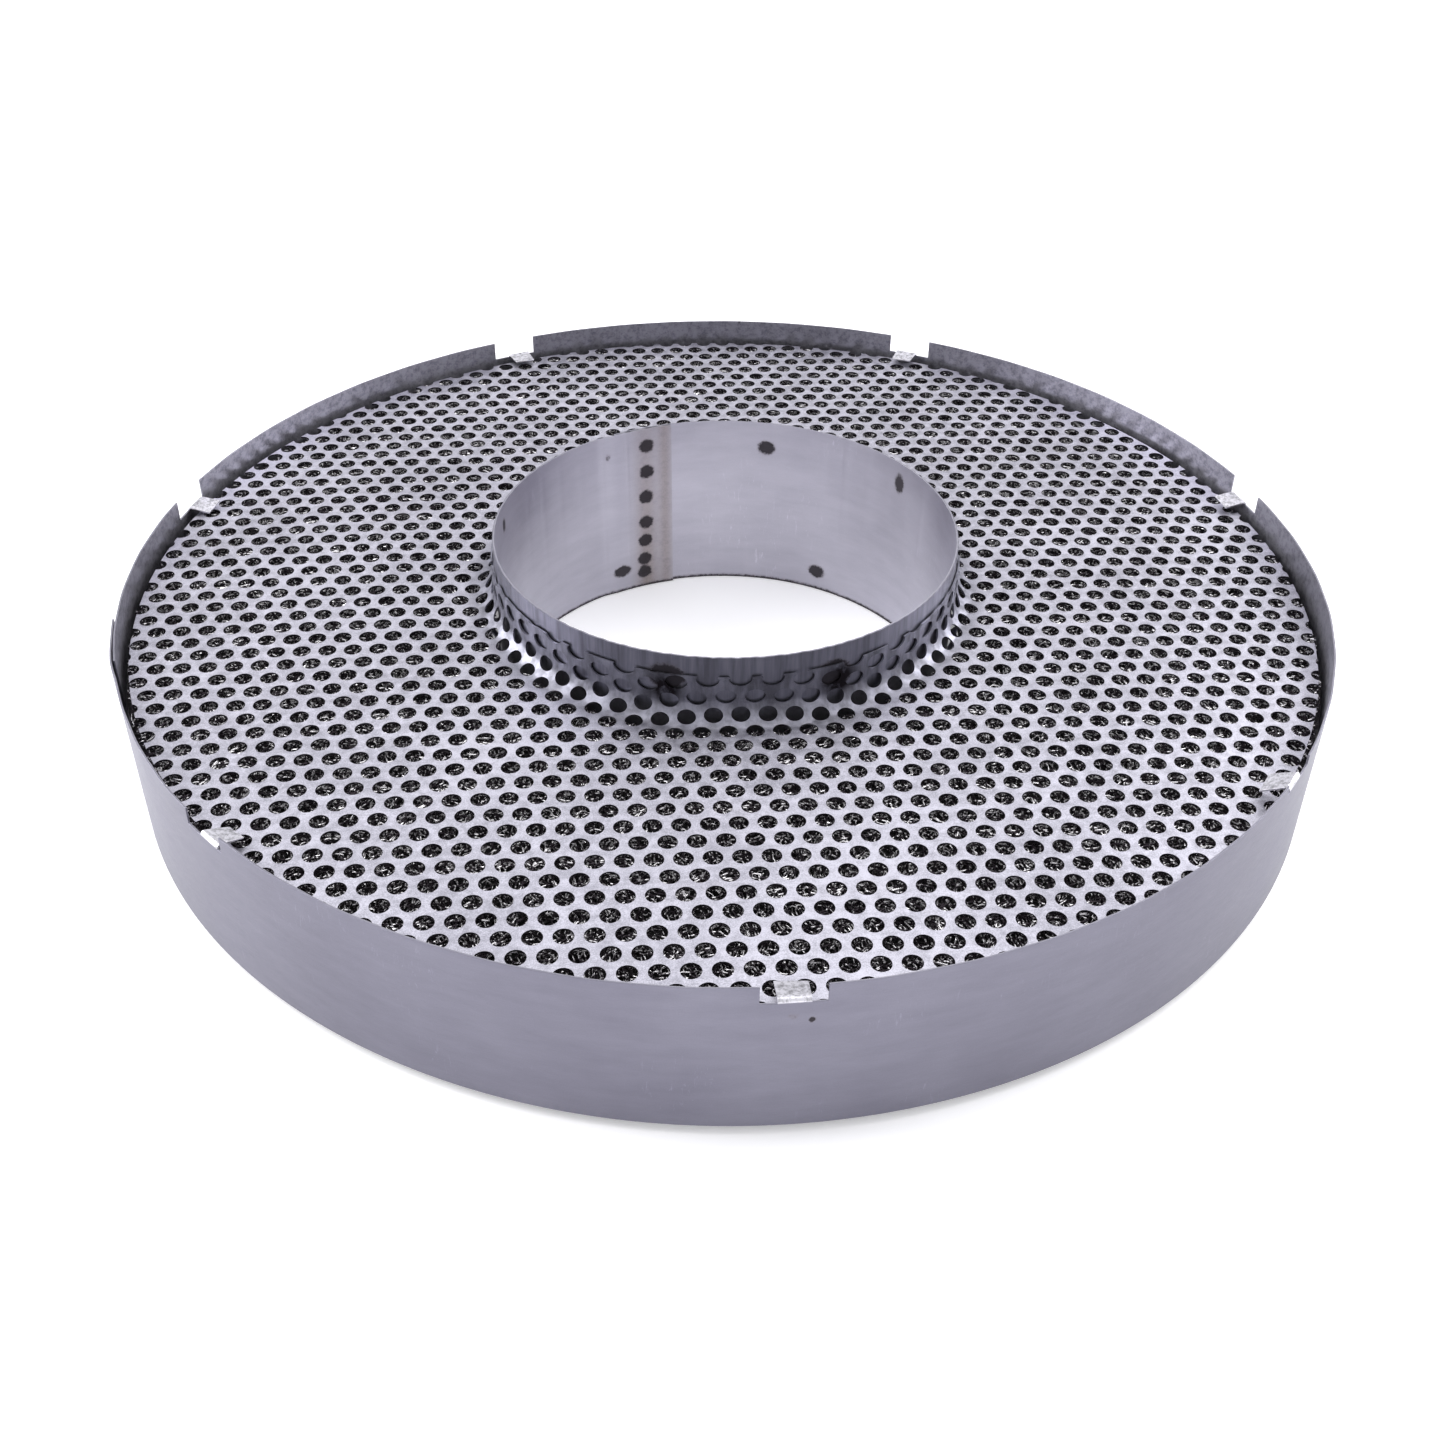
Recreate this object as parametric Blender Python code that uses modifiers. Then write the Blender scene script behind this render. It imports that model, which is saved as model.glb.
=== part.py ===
"""Ring-shaped burner element in stainless sheet: a rolled outer band, a rolled inner tube, two
perforated plates with collars drawn around the tube, and a pack of knitted wire mesh between them.

Units are metres and +Z is up. The origin is on the ring's axis, level with the tube's lower rim,
on which the element stands. Angles are in degrees, counter-clockwise from +X seen from above.
The plates are plain sheet here: their 5 mm holes at 7 mm pitch are not cut in this model.
"""

import math

import bmesh
import bpy
from mathutils import Vector

# Clearance left between surfaces that touch on the real element.
TOUCH = 0.0003

# Inner tube: a rolled strip whose ends lap and are spot welded. The plates sit centred on its length.
TUBE_RADIUS = 0.0671
TUBE_LENGTH = 0.0584
TUBE_SHEET = 0.0005
TUBE_SEAM_START = 101.5
TUBE_SEAM_LAP = 16.5
TUBE_SEAM_JOGGLE = 6.0
TUBE_SEAM_WELDS = 7
TUBE_SEAM_END_MARGIN = 0.0055

# Outer band: a rolled strip that hangs from the top plate on seven bent tabs. Its lower rim stays
# clear of the surface that the tube stands on.
BAND_RADIUS = 0.1722
BAND_SHEET = 0.0005
BAND_RIM_ABOVE_PLATE = 0.0073
BAND_RIM_ABOVE_FOOT = 0.00265
BAND_SEAM_START = 187.5
BAND_SEAM_LAP = 7.0
BAND_SEAM_JOGGLE = 4.0
BAND_SEAM_WELDS = 4
BAND_SEAM_END_MARGIN = 0.008

# Each notch in the band's upper edge holds one tab, bent inwards from the notch's floor and down
# towards the top plate. NOTCHES gives the angle of each notch's middle, the height of its floor above
# the plate and how far its tab stands from its middle. They are evenly spaced, but for the seam.
NOTCH_WIDTH = 0.0148
TAB_WIDTH = 0.0074
TAB_REACH = 0.0070
TAB_BEND_RADIUS = 0.0008
TAB_TIP_ABOVE_PLATE = 0.0014
NOTCHES = (
    (12.1, 0.0014, 0.0022),
    (62.7, 0.0011, 0.0009),
    (113.1, 0.0011, -0.0015),
    (163.3, 0.0013, -0.0022),
    (220.5, 0.0028, 0.0021),
    (271.1, 0.0024, 0.0002),
    (321.8, 0.0044, -0.0021),
)

# Perforated plates: a flat ring drawn up into a collar at its middle.
PLATE_SHEET = 0.0005
PLATE_TO_BAND = 0.0024
COLLAR_BEND_RADIUS = 0.0061
COLLAR_HEIGHT = 0.0125

# Knitted wire mesh, stacked in layers between the plates.
MESH_LAYERS = 4
MESH_LAYER_THICKNESS = 0.0046
MESH_TO_TUBE = 0.0030
MESH_TO_BAND = 0.0008

# Spot weld nuggets in the lapped seams.
NUGGET_RADIUS = 0.0018
NUGGET_SIDES = 12

# Fineness of the round shapes: facets around the ring, the least angle between a facet line and a
# strip's own edges, steps in a bend, and the angle above which an edge is shaded sharp.
FACETS = 72
FACET_CLEARANCE = 0.3
TAB_BEND_STEPS = 3
COLLAR_BEND_STEPS = 5
SHARP_ANGLE = 35.0

# Distance below which a turned ring's ends merge.
MERGE_DISTANCE = 0.0001

# Values that follow from the ones above.
MESH_PACK = MESH_LAYERS * MESH_LAYER_THICKNESS + (MESH_LAYERS + 1) * TOUCH
TUBE_MIDDLE = TUBE_LENGTH / 2
PLATE_TOP_UNDERSIDE = TUBE_MIDDLE + MESH_PACK / 2
PLATE_BOTTOM_UPPER = TUBE_MIDDLE - MESH_PACK / 2
PLATE_TOP_FACE = PLATE_TOP_UNDERSIDE + PLATE_SHEET
BAND_TOP = PLATE_TOP_FACE + BAND_RIM_ABOVE_PLATE
BAND_BOTTOM = BAND_RIM_ABOVE_FOOT
BAND_MIDDLE = (BAND_TOP + BAND_BOTTOM) / 2
TAB_TIP = PLATE_TOP_FACE + TAB_TIP_ABOVE_PLATE
BAND_INNER = BAND_RADIUS - BAND_SHEET
PLATE_RADIUS = BAND_INNER - PLATE_TO_BAND

# Colour and roughness of each kind of steel.
STEEL_TUBE = ((0.44, 0.43, 0.50), 0.38)
STEEL_BAND = ((0.33, 0.32, 0.39), 0.42)
STEEL_PLATE = ((0.62, 0.61, 0.68), 0.34)
STEEL_WIRE = ((0.10, 0.09, 0.10), 0.45)


def clear_scene():
    for old in list(bpy.data.objects):
        bpy.data.objects.remove(old)


def new_collection(name):
    collection = bpy.data.collections.new(name)
    bpy.context.scene.collection.children.link(collection)
    return collection


def steel(name, colour, roughness):
    """Bare stainless steel of the given colour and roughness."""
    material = bpy.data.materials.new(name)
    material.use_nodes = True
    shader = material.node_tree.nodes["Principled BSDF"]
    shader.inputs["Base Color"].default_value = (*colour, 1.0)
    shader.inputs["Metallic"].default_value = 1.0
    shader.inputs["Roughness"].default_value = roughness
    return material


def add_object(name, mesh, collection, material=None):
    piece = bpy.data.objects.new(name, mesh)
    collection.objects.link(piece)
    if material:
        mesh.materials.append(material)
        mesh.shade_smooth()
        mesh.set_sharp_from_angle(angle=math.radians(SHARP_ANGLE))
    return piece


def turn_round_axis(piece):
    """Turns the piece's outline, at +X, into a closed ring around Z."""
    screw = piece.modifiers.new("Turn", "SCREW")
    screw.axis = "Z"
    screw.steps = FACETS
    screw.render_steps = FACETS
    screw.use_merge_vertices = True
    screw.merge_threshold = MERGE_DISTANCE


def outline_mesh(name, profile):
    """Open outline in the XZ plane through the given (radius, height) points."""
    outline = bmesh.new()
    points = [outline.verts.new((radius, 0, height)) for radius, height in profile]
    for near, far in zip(points, points[1:]):
        outline.edges.new((near, far))
    return to_mesh(outline, name)


def add_sheet_thickness(piece, thickness):
    """Turns an open mid-surface into a sheet, half of its thickness on each side."""
    solidify = piece.modifiers.new("Sheet", "SOLIDIFY")
    solidify.thickness = thickness
    solidify.offset = 0.0
    solidify.use_even_offset = True
    solidify.use_quality_normals = True


def on_circle(radius, degrees, height):
    turn = math.radians(degrees)
    return Vector((radius * math.cos(turn), radius * math.sin(turn), height))


def arc_degrees(length, radius):
    """The angle that a length along a circle of this radius spans."""
    return math.degrees(length / radius)


def strip_angles(start, end, extra):
    """Column angles of a rolled strip: its ends, the extra angles, and the facet lines clear of both."""
    fixed = [start, end, *extra]
    step = 360 / FACETS
    lines = [index * step for index in range(math.ceil(start / step), math.floor(end / step) + 1)]
    clear = [line for line in lines if all(abs(line - angle) > FACET_CLEARANCE for angle in fixed)]
    return sorted(fixed + clear)


def joggled_radius(angle, start, lap, joggle, radius, step_out):
    """Mid-surface radius of a strip whose first lap stands step_out off its own far end."""
    past_lap = (angle - start - lap) / joggle
    return radius + step_out * (1 - min(max(past_lap, 0.0), 1.0))


def rolled_strip(columns, heights_at, radius_at, missing):
    """Open mid-surface of a rolled strip. missing(angle, row) leaves out a facet."""
    surface = bmesh.new()
    grid = [
        [surface.verts.new(on_circle(radius_at(angle), angle, height)) for height in heights_at(angle)]
        for angle in columns
    ]
    for index in range(len(columns) - 1):
        middle = (columns[index] + columns[index + 1]) / 2
        for row in range(len(grid[index]) - 1):
            if missing(middle, row):
                continue
            near, far = grid[index], grid[index + 1]
            surface.faces.new((near[row], far[row], far[row + 1], near[row + 1]))
    return surface, grid


def to_mesh(surface, name):
    mesh = bpy.data.meshes.new(name)
    surface.to_mesh(mesh)
    surface.free()
    return mesh


def weld_nugget(name, degrees, height, radius, length, cutters):
    """A short radial disc that joins the two layers of a lapped seam."""
    mesh = bpy.data.meshes.new(name)
    disc = bmesh.new()
    bmesh.ops.create_cone(
        disc,
        cap_ends=True,
        segments=NUGGET_SIDES,
        radius1=NUGGET_RADIUS,
        radius2=NUGGET_RADIUS,
        depth=length,
    )
    disc.to_mesh(mesh)
    disc.free()
    nugget = add_object(name, mesh, cutters)
    nugget.location = on_circle(radius, degrees, height)
    nugget.rotation_euler = (0, math.radians(90), math.radians(degrees))
    nugget.hide_render = True
    nugget.display_type = "WIRE"
    return nugget


def weld_seam(piece, degrees, heights, radius, sheet, cutters):
    """Joins a lapped seam with a column of nuggets that reach the middle of both layers."""
    for number, height in enumerate(heights, start=1):
        name = f"{piece.name}_seam_weld_{number}"
        nugget = weld_nugget(name, degrees, height, radius, sheet + TOUCH, cutters)
        union = piece.modifiers.new(f"Weld {number}", "BOOLEAN")
        union.operation = "UNION"
        union.solver = "EXACT"
        union.object = nugget


def spread(low, high, count):
    """Evenly spaced heights, or the middle one where there is only one."""
    if count == 1:
        return [(low + high) / 2]
    return [low + (high - low) * index / (count - 1) for index in range(count)]


def make_inner_tube(parts, cutters):
    """Rolled tube. Its visible seam edge is inside, so its outside stays round for the collars."""
    start, lap = TUBE_SEAM_START, TUBE_SEAM_LAP
    step_in = -(TUBE_SHEET + TOUCH)
    middle_radius = TUBE_RADIUS - TUBE_SHEET / 2

    def radius_at(angle):
        return joggled_radius(angle, start, lap, TUBE_SEAM_JOGGLE, middle_radius, step_in)

    end = start + 360 + lap
    columns = strip_angles(start, end, (start + lap, start + lap + TUBE_SEAM_JOGGLE))
    surface, _ = rolled_strip(columns, lambda angle: (0.0, TUBE_LENGTH), radius_at, lambda *facet: False)
    tube = add_object("inner_tube", to_mesh(surface, "inner_tube"), parts, steel("tube", *STEEL_TUBE))
    add_sheet_thickness(tube, TUBE_SHEET)
    low, high = TUBE_SEAM_END_MARGIN, TUBE_LENGTH - TUBE_SEAM_END_MARGIN
    heights = spread(low, high, TUBE_SEAM_WELDS)
    weld_seam(tube, start + lap / 2, heights, middle_radius + step_in / 2, TUBE_SHEET, cutters)
    return tube


def add_tab(surface, roots):
    """Bends a tab inwards from two neighbouring points on the notch's floor, and on to its tip."""
    bend = TAB_BEND_RADIUS
    path = []
    for index in range(1, TAB_BEND_STEPS + 1):
        turn = math.radians(90 * index / TAB_BEND_STEPS)
        path.append((bend * (1 - math.cos(turn)), bend * math.sin(turn)))
    path.append((TAB_REACH, TAB_TIP - roots[0].co.z))
    middle = (roots[0].co + roots[1].co) / 2
    inward = -Vector((middle.x, middle.y, 0)).normalized()
    before = roots
    for reach, rise in path:
        after = [surface.verts.new(root.co + inward * reach + Vector((0, 0, rise))) for root in roots]
        surface.faces.new((before[0], before[1], after[1], after[0]))
        before = after


def make_outer_band(parts, cutters):
    """Rolled band with its lap outside, notched along its upper edge, one tab left in each notch."""
    start, lap = BAND_SEAM_START, BAND_SEAM_LAP
    step_out = BAND_SHEET + TOUCH
    middle_radius = BAND_RADIUS - BAND_SHEET / 2
    half_notch = arc_degrees(NOTCH_WIDTH / 2, middle_radius)
    half_tab = arc_degrees(TAB_WIDTH / 2, middle_radius)
    cuts, tabs = [], []
    for degrees, floor, shift in NOTCHES:
        middle = degrees if degrees > start else degrees + 360
        tab = middle + arc_degrees(shift, middle_radius)
        cuts.append((middle - half_notch, middle + half_notch, PLATE_TOP_FACE + floor))
        tabs.append((tab - half_tab, tab + half_tab))

    def radius_at(angle):
        return joggled_radius(angle, start, lap, BAND_SEAM_JOGGLE, middle_radius, step_out)

    def in_notch(angle, row):
        return row == 1 and any(low < angle < high for low, high, _ in cuts)

    def heights_at(angle):
        floors = [floor for low, high, floor in cuts if low <= angle <= high]
        return BAND_BOTTOM, floors[0] if floors else BAND_MIDDLE, BAND_TOP

    ends = [angle for low, high, *_ in cuts + tabs for angle in (low, high)]
    columns = strip_angles(start, start + 360 + lap, [start + lap, start + lap + BAND_SEAM_JOGGLE] + ends)
    columns = [angle for angle in columns if angle in ends or not in_notch(angle, row=1)]
    surface, grid = rolled_strip(columns, heights_at, radius_at, in_notch)
    for low, high in tabs:
        add_tab(surface, [grid[columns.index(low)][1], grid[columns.index(high)][1]])
    loose = [point for point in surface.verts if not point.link_faces]
    bmesh.ops.delete(surface, geom=loose, context="VERTS")
    band = add_object("outer_band", to_mesh(surface, "outer_band"), parts, steel("band", *STEEL_BAND))
    add_sheet_thickness(band, BAND_SHEET)
    low, high = BAND_BOTTOM + BAND_SEAM_END_MARGIN, BAND_TOP - BAND_SEAM_END_MARGIN
    heights = spread(low, high, BAND_SEAM_WELDS)
    weld_seam(band, start + lap / 2, heights, middle_radius + step_out / 2, BAND_SHEET, cutters)
    return band


def make_perforated_plate(name, parts, upper):
    """Flat ring with a collar around the tube. The upper plate's collar points up, the other's down."""
    side = 1 if upper else -1
    flat = PLATE_TOP_UNDERSIDE + PLATE_SHEET / 2 if upper else PLATE_BOTTOM_UPPER - PLATE_SHEET / 2
    wall = TUBE_RADIUS + TOUCH + PLATE_SHEET / 2
    bend = COLLAR_BEND_RADIUS
    profile = [(PLATE_RADIUS, 0.0)]
    for index in range(COLLAR_BEND_STEPS + 1):
        turn = math.radians(90 * index / COLLAR_BEND_STEPS)
        rise = bend * (1 - math.cos(turn))
        profile.append((wall + bend * (1 - math.sin(turn)), side * rise))
    profile.append((wall, side * (COLLAR_HEIGHT - PLATE_SHEET / 2)))
    if not upper:
        profile.reverse()
    plate = add_object(name, outline_mesh(name, profile), parts, steel(name, *STEEL_PLATE))
    plate.location.z = flat
    turn_round_axis(plate)
    add_sheet_thickness(plate, PLATE_SHEET)
    return plate


def make_mesh_layer(number, parts, material):
    """One flattened layer of knitted wire, as the ring of space that it fills."""
    inner = TUBE_RADIUS + MESH_TO_TUBE
    outer = BAND_INNER - MESH_TO_BAND
    step = MESH_LAYER_THICKNESS + TOUCH
    middle = PLATE_BOTTOM_UPPER + TOUCH + MESH_LAYER_THICKNESS / 2 + (number - 1) * step
    name = f"knitted_mesh_layer_{number}"
    layer = add_object(name, outline_mesh(name, ((outer, 0), (inner, 0))), parts, material)
    layer.location.z = middle
    turn_round_axis(layer)
    add_sheet_thickness(layer, MESH_LAYER_THICKNESS)
    return layer


def build():
    clear_scene()
    parts = new_collection("burner_element")
    cutters = new_collection("weld_nuggets")
    axis = bpy.data.objects.new("ring_axis", None)
    parts.objects.link(axis)
    wire = steel("wire", *STEEL_WIRE)
    pieces = [
        make_outer_band(parts, cutters),
        make_inner_tube(parts, cutters),
        make_perforated_plate("top_perforated_plate", parts, upper=True),
        make_perforated_plate("bottom_perforated_plate", parts, upper=False),
    ]
    pieces += [make_mesh_layer(number, parts, wire) for number in range(1, MESH_LAYERS + 1)]
    for piece in pieces:
        piece.parent = axis


build()
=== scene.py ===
"""Looks of the ring burner element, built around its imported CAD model.

Each CAD solid is replaced by a finer piece in the same place: punched plates with drawn collars, a
rolled tube and band with lapped seams, and knitted wire. Sizes are in metres. Angles are in degrees,
counter-clockwise from +X seen from above. Scales of noise are in repeats per metre.
"""

import math

import bpy
import numpy as np
from mathutils import Matrix, Vector
from mathutils.geometry import delaunay_2d_cdt


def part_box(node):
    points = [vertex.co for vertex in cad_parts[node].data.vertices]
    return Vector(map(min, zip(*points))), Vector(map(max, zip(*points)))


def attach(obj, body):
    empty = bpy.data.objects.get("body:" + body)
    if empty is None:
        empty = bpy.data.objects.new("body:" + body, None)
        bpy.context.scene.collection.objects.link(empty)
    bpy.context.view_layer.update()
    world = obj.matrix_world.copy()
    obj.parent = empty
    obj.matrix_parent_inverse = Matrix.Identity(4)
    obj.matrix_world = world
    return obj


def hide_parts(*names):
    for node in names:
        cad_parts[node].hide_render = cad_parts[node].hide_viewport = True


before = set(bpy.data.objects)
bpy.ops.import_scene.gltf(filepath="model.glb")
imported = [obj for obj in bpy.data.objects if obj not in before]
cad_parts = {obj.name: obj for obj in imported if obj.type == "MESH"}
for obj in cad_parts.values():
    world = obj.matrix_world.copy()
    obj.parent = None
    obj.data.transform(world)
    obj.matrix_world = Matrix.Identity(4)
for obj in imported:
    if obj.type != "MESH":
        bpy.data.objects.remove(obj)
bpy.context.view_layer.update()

# Sheet thickness and the gap of a touching fit, as in the CAD model.
SHEET = 0.0005
TOUCH = 0.0003

# Places and sizes of the CAD nodes.
TUBE_LOW, TUBE_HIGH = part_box("inner_tube")
BAND_LOW, BAND_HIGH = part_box("outer_band")
TOP_PLATE_LOW, TOP_PLATE_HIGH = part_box("top_perforated_plate")
BOTTOM_PLATE_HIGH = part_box("bottom_perforated_plate")[1]
TOP_LAYER_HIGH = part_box("knitted_mesh_layer_4")[1]
LOWEST_LAYER_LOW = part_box("knitted_mesh_layer_1")[0]
TUBE_RADIUS = TUBE_HIGH.x
TUBE_MIDDLE = TUBE_RADIUS - SHEET / 2
BAND_RADIUS = BAND_HIGH.x
BAND_MIDDLE = BAND_RADIUS - SHEET / 2
PLATE_RADIUS = TOP_PLATE_HIGH.x
TOP_PLATE_Z = TOP_PLATE_LOW.z + SHEET / 2
BOTTOM_PLATE_Z = BOTTOM_PLATE_HIGH.z - SHEET / 2
TOP_FACE = TOP_PLATE_LOW.z + SHEET
MESH_TO_TUBE = 0.0030  # Gap between the mesh layers and the tube.
FABRIC_INSET = 0.0005
FABRIC_INNER = TUBE_RADIUS + MESH_TO_TUBE + FABRIC_INSET
FABRIC_OUTER = TOP_LAYER_HIGH.x - FABRIC_INSET

# Perforations: 5 mm holes at 7 mm pitch in rows along X, staggered by half a pitch.
HOLE_PITCH = 0.007
HOLE_ROW = HOLE_PITCH * math.sqrt(3) / 2
HOLE_RADIUS = 0.0025
HOLE_SIDES = 18
HOLE_START = (0.0031, -0.0006)

# Collar drawn up around the tube from a flat blank, which leaves a scalloped edge.
COLLAR_WALL = TUBE_RADIUS + TOUCH + SHEET / 2
COLLAR_BEND = 0.0061
COLLAR_STRETCH = 0.87
COLLAR_START = COLLAR_WALL + COLLAR_BEND
BLANK_INNER = 0.0545
BLANK_RIM_SIDES, BLANK_INNER_SIDES = 720, 360

# The upper plate's sag from wear and heat: lift at the middle, tilt along X and Y, and dishing.
SAG_LIFT = 0.00055
SAG_TILT_X, SAG_TILT_Y = -0.0030, 0.0018
SAG_DISH = -0.042
SAG_INNER, SAG_FADE = 0.076, 0.02  # It is nothing inside the first radius and full past the fade.
PLATE_RIPPLE, RIPPLE_INNER, RIPPLE_FADE = 0.00010, 0.078, 0.02

# Band seam and tabs, as on the CAD band.
BAND_SEAM_START = 187.5
BAND_SEAM_LAP = 7.0
BAND_SEAM_JOGGLE = 4.0
NOTCH_WIDTH = 0.0148
TAB_WIDTH = 0.0074
TAB_REACH = 0.0070
TAB_BEND = 0.0008
TAB_TIP = 0.0014
# Angle, floor above the plate, tab's shift, twist of its tip and narrowing of its tip.
NOTCHES = (
    (12.1, 0.0014, 0.0022, 0.0003, 0.0006),
    (62.7, 0.0011, 0.0009, -0.0002, 0.0004),
    (113.1, 0.0011, -0.0015, 0.0002, 0.0005),
    (163.3, 0.0013, -0.0022, -0.0003, 0.0003),
    (220.5, 0.0028, 0.0021, 0.0004, 0.0008),
    (271.1, 0.0024, 0.0002, -0.0003, -0.0003),
    (321.8, 0.0044, -0.0021, 0.0005, 0.0006),
)

# Tube seam, as on the CAD tube.
TUBE_SEAM_START = 101.5
TUBE_SEAM_LAP = 16.5
TUBE_SEAM_JOGGLE = 6.0


# ---------------------------------------------------------------- meshes

def new_piece(name, points, faces, material, replaced, smooth_angle=35.0):
    """A piece from an array of points and an array of triangles or quads, all in the row's frame."""
    mesh = bpy.data.meshes.new(name)
    sides = faces.shape[1]
    mesh.vertices.add(len(points))
    mesh.vertices.foreach_set("co", points.astype(np.float32).ravel())
    mesh.loops.add(faces.size)
    mesh.loops.foreach_set("vertex_index", faces.astype(np.int32).ravel())
    mesh.polygons.add(len(faces))
    mesh.polygons.foreach_set("loop_start", np.arange(0, faces.size, sides, dtype=np.int32))
    mesh.update(calc_edges=True)
    mesh.validate()
    mesh.materials.append(material)
    mesh.shade_smooth()
    if smooth_angle:
        mesh.set_sharp_from_angle(angle=math.radians(smooth_angle))
    piece = bpy.data.objects.new(name, mesh)
    bpy.context.scene.collection.objects.link(piece)
    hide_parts(replaced)
    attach(piece, "root")
    return piece


def inside_polygon(x, y, radius, sides):
    """Which points lie in a regular polygon round the origin that has a corner at +X."""
    step = 2 * math.pi / sides
    from_middle = np.mod(np.arctan2(y, x), step) - step / 2
    return np.hypot(x, y) * np.cos(from_middle) < radius * math.cos(step / 2)


def hole_centres(inner, outer):
    """Middles of the holes that reach into the ring between two radii."""
    rows = int(outer / HOLE_ROW) + 2
    centres = []
    for row in range(-rows, rows + 1):
        y = HOLE_START[1] + row * HOLE_ROW
        shift = HOLE_START[0] + (HOLE_PITCH / 2 if row % 2 else 0)
        for column in range(-rows, rows + 1):
            x = shift + column * HOLE_PITCH
            if inner - HOLE_RADIUS < math.hypot(x, y) < outer + HOLE_RADIUS:
                centres.append((x, y))
    return centres


def in_a_hole(x, y):
    """Which points lie inside a hole of the endless pattern."""
    row = np.round((y - HOLE_START[1]) / HOLE_ROW)
    found = np.zeros(len(x), bool)
    for step in (-1, 0, 1):
        near_row = row + step
        offset_y = y - HOLE_START[1] - near_row * HOLE_ROW
        shift = HOLE_START[0] + np.where(np.mod(near_row, 2) == 1, HOLE_PITCH / 2, 0)
        offset_x = x - shift
        offset_x -= np.round(offset_x / HOLE_PITCH) * HOLE_PITCH
        found |= inside_polygon(offset_x, offset_y, HOLE_RADIUS, HOLE_SIDES)
    return found


def punched_blank():
    """Points (x, y) and counter-clockwise triangles of the flat blank, without its holes."""
    scale = 1000.0  # The triangulation is more exact in millimetres.
    points, edges = [], []

    def add_ring(cx, cy, radius, sides):
        first = len(points)
        for index in range(sides):
            turn = 2 * math.pi * index / sides
            corner = Vector((cx + radius * math.cos(turn), cy + radius * math.sin(turn)))
            points.append(corner * scale)
            edges.append((first + index, first + (index + 1) % sides))

    add_ring(0, 0, PLATE_RADIUS, BLANK_RIM_SIDES)
    add_ring(0, 0, BLANK_INNER, BLANK_INNER_SIDES)
    for cx, cy in hole_centres(BLANK_INNER, PLATE_RADIUS):
        add_ring(cx, cy, HOLE_RADIUS, HOLE_SIDES)
    found = delaunay_2d_cdt(points, edges, [], 0, 1e-6, False)
    flat = np.array([tuple(point) for point in found[0]]) / scale
    triangles = np.array(found[2], dtype=np.int64)
    x, y = flat[triangles].mean(axis=1).T
    kept = inside_polygon(x, y, PLATE_RADIUS, BLANK_RIM_SIDES)
    kept &= ~inside_polygon(x, y, BLANK_INNER, BLANK_INNER_SIDES)
    kept &= ~in_a_hole(x, y)
    triangles = triangles[kept]
    a, b, c = (flat[triangles[:, corner]] for corner in range(3))
    area = (b[:, 0] - a[:, 0]) * (c[:, 1] - a[:, 1]) - (b[:, 1] - a[:, 1]) * (c[:, 0] - a[:, 0])
    triangles = np.where((area < 0)[:, None], triangles[:, ::-1], triangles)
    used, index = np.unique(triangles, return_inverse=True)
    return flat[used], index.reshape(triangles.shape)


def drawn_profile(blank_radius):
    """Radius, rise and turn of the drawn collar's mid-surface at each radius of the flat blank."""
    arc = np.maximum(COLLAR_START - blank_radius, 0) * COLLAR_STRETCH
    turn = np.minimum(arc / COLLAR_BEND, math.pi / 2)
    straight = np.maximum(arc - COLLAR_BEND * math.pi / 2, 0)
    bent = COLLAR_WALL + COLLAR_BEND * (1 - np.sin(turn))
    radius = np.where(blank_radius > COLLAR_START, blank_radius, bent)
    rise = COLLAR_BEND * (1 - np.cos(turn)) + straight
    return radius, rise, turn


def sag(x, y):
    """How far the upper plate and the wire under it lie above level. It fades out at the collar."""
    reach = np.hypot(x, y)
    share = np.clip((reach - SAG_INNER) / SAG_FADE, 0, 1)
    return share * (SAG_LIFT + SAG_TILT_X * x + SAG_TILT_Y * y + SAG_DISH * reach**2)


def open_edges(faces):
    """Edges that only one face uses, in that face's own direction."""
    sides = faces.shape[1]
    edges = np.concatenate([faces[:, [side, (side + 1) % sides]] for side in range(sides)])
    alike = np.sort(edges, axis=1)
    _, index, count = np.unique(alike, axis=0, return_inverse=True, return_counts=True)
    return edges[count[index.reshape(-1)] == 1]


def on_strip(radius, angle, height):
    """Points at the given radius, angle in radians and height."""
    return np.column_stack((radius * np.cos(angle), radius * np.sin(angle), height))


def make_plate(name, node, blank, height, side, seed):
    """Drawn and punched plate. side is 1 where the collar points up and -1 where it points down."""
    flat, triangles = blank
    angle = np.arctan2(flat[:, 1], flat[:, 0])
    reach = np.hypot(flat[:, 0], flat[:, 1])
    radius, rise, turn = drawn_profile(reach)
    phases = np.random.default_rng(seed).uniform(0, 2 * math.pi, 4)
    level = np.clip((reach - RIPPLE_INNER) / RIPPLE_FADE, 0, 1)
    rise = rise + level * PLATE_RIPPLE * (
        np.sin(2 * angle + phases[0]) + 0.6 * np.sin(3 * angle + phases[1] + reach * 30)
    )
    if side > 0:
        rise = rise + sag(flat[:, 0], flat[:, 1])
    faces = [triangles + offset for offset in (0, len(flat))]
    faces[1] = faces[1][:, ::-1]
    layers = []
    for half in (SHEET / 2, -SHEET / 2):
        out = radius + half * np.sin(turn)
        up = rise + half * np.cos(turn)
        layers.append(on_strip(out, angle, height + side * up))
    rim = open_edges(triangles)
    below = rim + len(flat)
    walls = [
        np.column_stack((rim[:, 1], rim[:, 0], below[:, 0])),
        np.column_stack((rim[:, 1], below[:, 0], below[:, 1])),
    ]
    faces = np.concatenate(faces + walls)
    if side < 0:
        faces = faces[:, ::-1]
    return new_piece(name, np.concatenate(layers), faces, PLATE_STEEL, node)


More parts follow.
